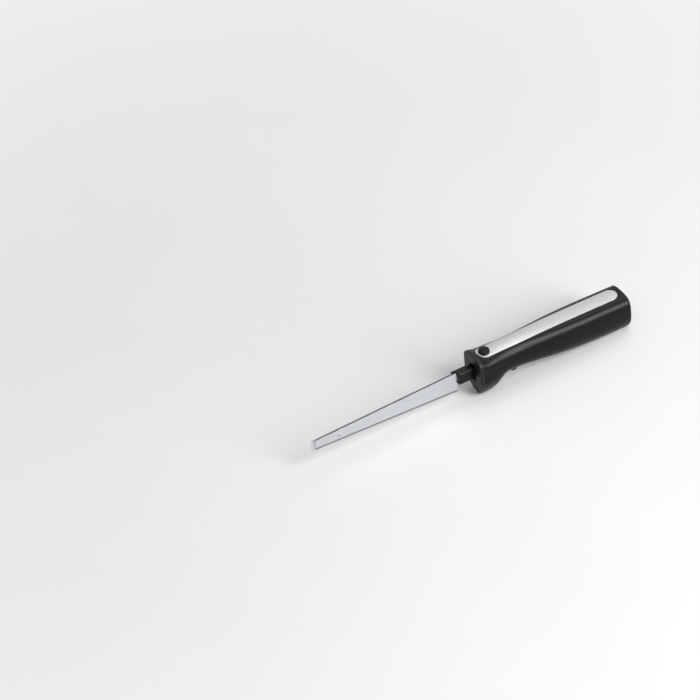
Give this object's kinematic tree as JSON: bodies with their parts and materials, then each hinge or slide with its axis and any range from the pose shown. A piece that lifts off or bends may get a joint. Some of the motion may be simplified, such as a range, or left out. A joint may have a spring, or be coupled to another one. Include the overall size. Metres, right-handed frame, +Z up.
{
  "type": "electric carving knife",
  "caption": "Electric carving knife: black moulded handle with a steel strip, release button and trigger, and two serrated blades that a geared motor drives back and forth.",
  "frame": {"origin": "centre of the whole part's box, on the surface that it stands on", "axes": "+X along the part towards the rear of the handle, +Y to the user's right, +Z up; the blades' line is tilted tip up by the stance on the guard and the belly"},
  "size_m": [0.4686, 0.0468, 0.0652],
  "materials": {
    "handle_plastic": "satin black moulded ABS with a soft sheen",
    "nose_plastic": "dark grey satin moulded plastic",
    "button_plastic": "glossy black moulded plastic",
    "strip_steel": "stainless steel, brushed along its length",
    "blade_steel": "stainless steel, ground along its length",
    "rivet_steel": "polished stainless steel",
    "hilt_plastic": "black moulded plastic",
    "slider_plastic": "natural acetal",
    "guide_plastic": "grey glass-filled nylon",
    "spring_steel": "spring steel",
    "frame_metal": "die-cast zinc-aluminium",
    "gear_plastic": "acetal gear",
    "shaft_steel": "ground steel",
    "bush_bronze": "sintered bronze",
    "can_steel": "zinc-plated steel can",
    "magnet": "bonded ferrite",
    "laminations": "stacked steel laminations",
    "copper": "enamelled copper",
    "cap_plastic": "black nylon end cap",
    "carbon": "pressed carbon",
    "brass_part": "stamped brass",
    "board": "green laminate board",
    "component_black": "moulded component",
    "component_yellow": "boxed film capacitor",
    "insulation": "PVC lead insulation",
    "gland_rubber": "soft black rubber",
    "screw_steel": "zinc-plated steel screws"
  },
  "bodies": {
    "housing": {"handle_shell_left": "handle_plastic", "handle_shell_right": "handle_plastic", "nose_plate": "nose_plastic", "top_inlay": "strip_steel", "button_spring": "spring_steel", "slider_guide": "guide_plastic", "gear_frame": "frame_metal", "shaft_bush_front": "bush_bronze", "shaft_bush_rear": "bush_bronze", "motor_can": "can_steel", "motor_bush_front": "bush_bronze", "field_magnets": "magnet", "motor_end_cap": "cap_plastic", "motor_bush_rear": "bush_bronze", "carbon_brushes": "carbon", "brush_holders": "brass_part", "motor_screws": "screw_steel", "trigger_pin": "shaft_steel", "trigger_spring": "spring_steel", "switch_body": "component_black", "switch_terminals": "brass_part", "circuit_board": "board", "bridge_rectifier": "component_black", "suppression_capacitor": "component_yellow", "choke_coils": "copper", "terminal_block": "guide_plastic", "switch_leads": "insulation", "motor_leads": "insulation", "cord_gland": "gland_rubber", "cord_clamp": "cap_plastic", "clamp_screws": "screw_steel", "handle_screws": "screw_steel"},
    "drive_left": {"blade_left": "blade_steel", "hilt_left": "hilt_plastic", "drive_slider_left": "slider_plastic", "latch_clip_left": "spring_steel", "tip_rivet": "rivet_steel"},
    "drive_right": {"blade_right": "blade_steel", "hilt_right": "hilt_plastic", "drive_slider_right": "slider_plastic", "latch_clip_right": "spring_steel"},
    "gear": {"worm_wheel": "gear_plastic", "wheel_axle": "shaft_steel", "crank_left": "shaft_steel", "crank_right": "shaft_steel"},
    "rotor": {"worm": "shaft_steel", "motor_shaft": "shaft_steel", "armature_core": "laminations", "armature_winding": "copper", "commutator": "copper", "cooling_fan": "cap_plastic"},
    "button": {"release_button": "button_plastic"},
    "trigger": {"trigger": "button_plastic"},
    "plunger": {"switch_plunger": "button_plastic"}
  },
  "joints": [
    {"name": "left_blade_stroke", "type": "slide", "parent": "housing", "child": "drive_left", "axis": [0.9991, 0, -0.0434], "range_m": [-0.00584, 0.00216]},
    {"name": "right_blade_stroke", "type": "slide", "parent": "housing", "child": "drive_right", "axis": [0.9991, 0, -0.0434], "range_m": [-0.00216, 0.00585]},
    {"name": "gear_turn", "type": "hinge", "parent": "housing", "child": "gear", "pos_m": [0.05012, 0, 0.03166], "axis": [0, 1, 0], "range_deg": [-131.5, 48.52]},
    {"name": "rotor_spin", "type": "hinge", "parent": "housing", "child": "rotor", "pos_m": [0.05061, 0, 0.04285], "axis": [0.9991, 0, -0.0434], "range_deg": [-2630.02, 970.38]},
    {"name": "release_press", "type": "slide", "parent": "housing", "child": "button", "axis": [-0.0434, 0, -0.9991], "range_m": [0, 0.003], "stiffness_N_per_m": 600, "springref_m": -0.002, "deforming": ["button_spring"]},
    {"name": "trigger_pull", "type": "hinge", "parent": "housing", "child": "trigger", "pos_m": [0.0857, 0, 0.02121], "axis": [0, 1, 0], "range_deg": [0, 7], "stiffness_Nm_per_rad": 0.5, "springref_deg": -5.73, "deforming": ["trigger_spring"]},
    {"name": "switch_press", "type": "slide", "parent": "housing", "child": "plunger", "axis": [0.0434, 0, 0.9991], "range_m": [0, 0.00189]}
  ],
  "couplings": [
    {"joint": "right_blade_stroke", "follows": "left_blade_stroke", "ratio": -1},
    {"joint": "gear_turn", "follows": "left_blade_stroke", "rad_per_m": 392.7},
    {"joint": "rotor_spin", "follows": "left_blade_stroke", "rad_per_m": 7854},
    {"joint": "switch_press", "follows": "trigger_pull", "m_per_rad": 0.0155}
  ]
}
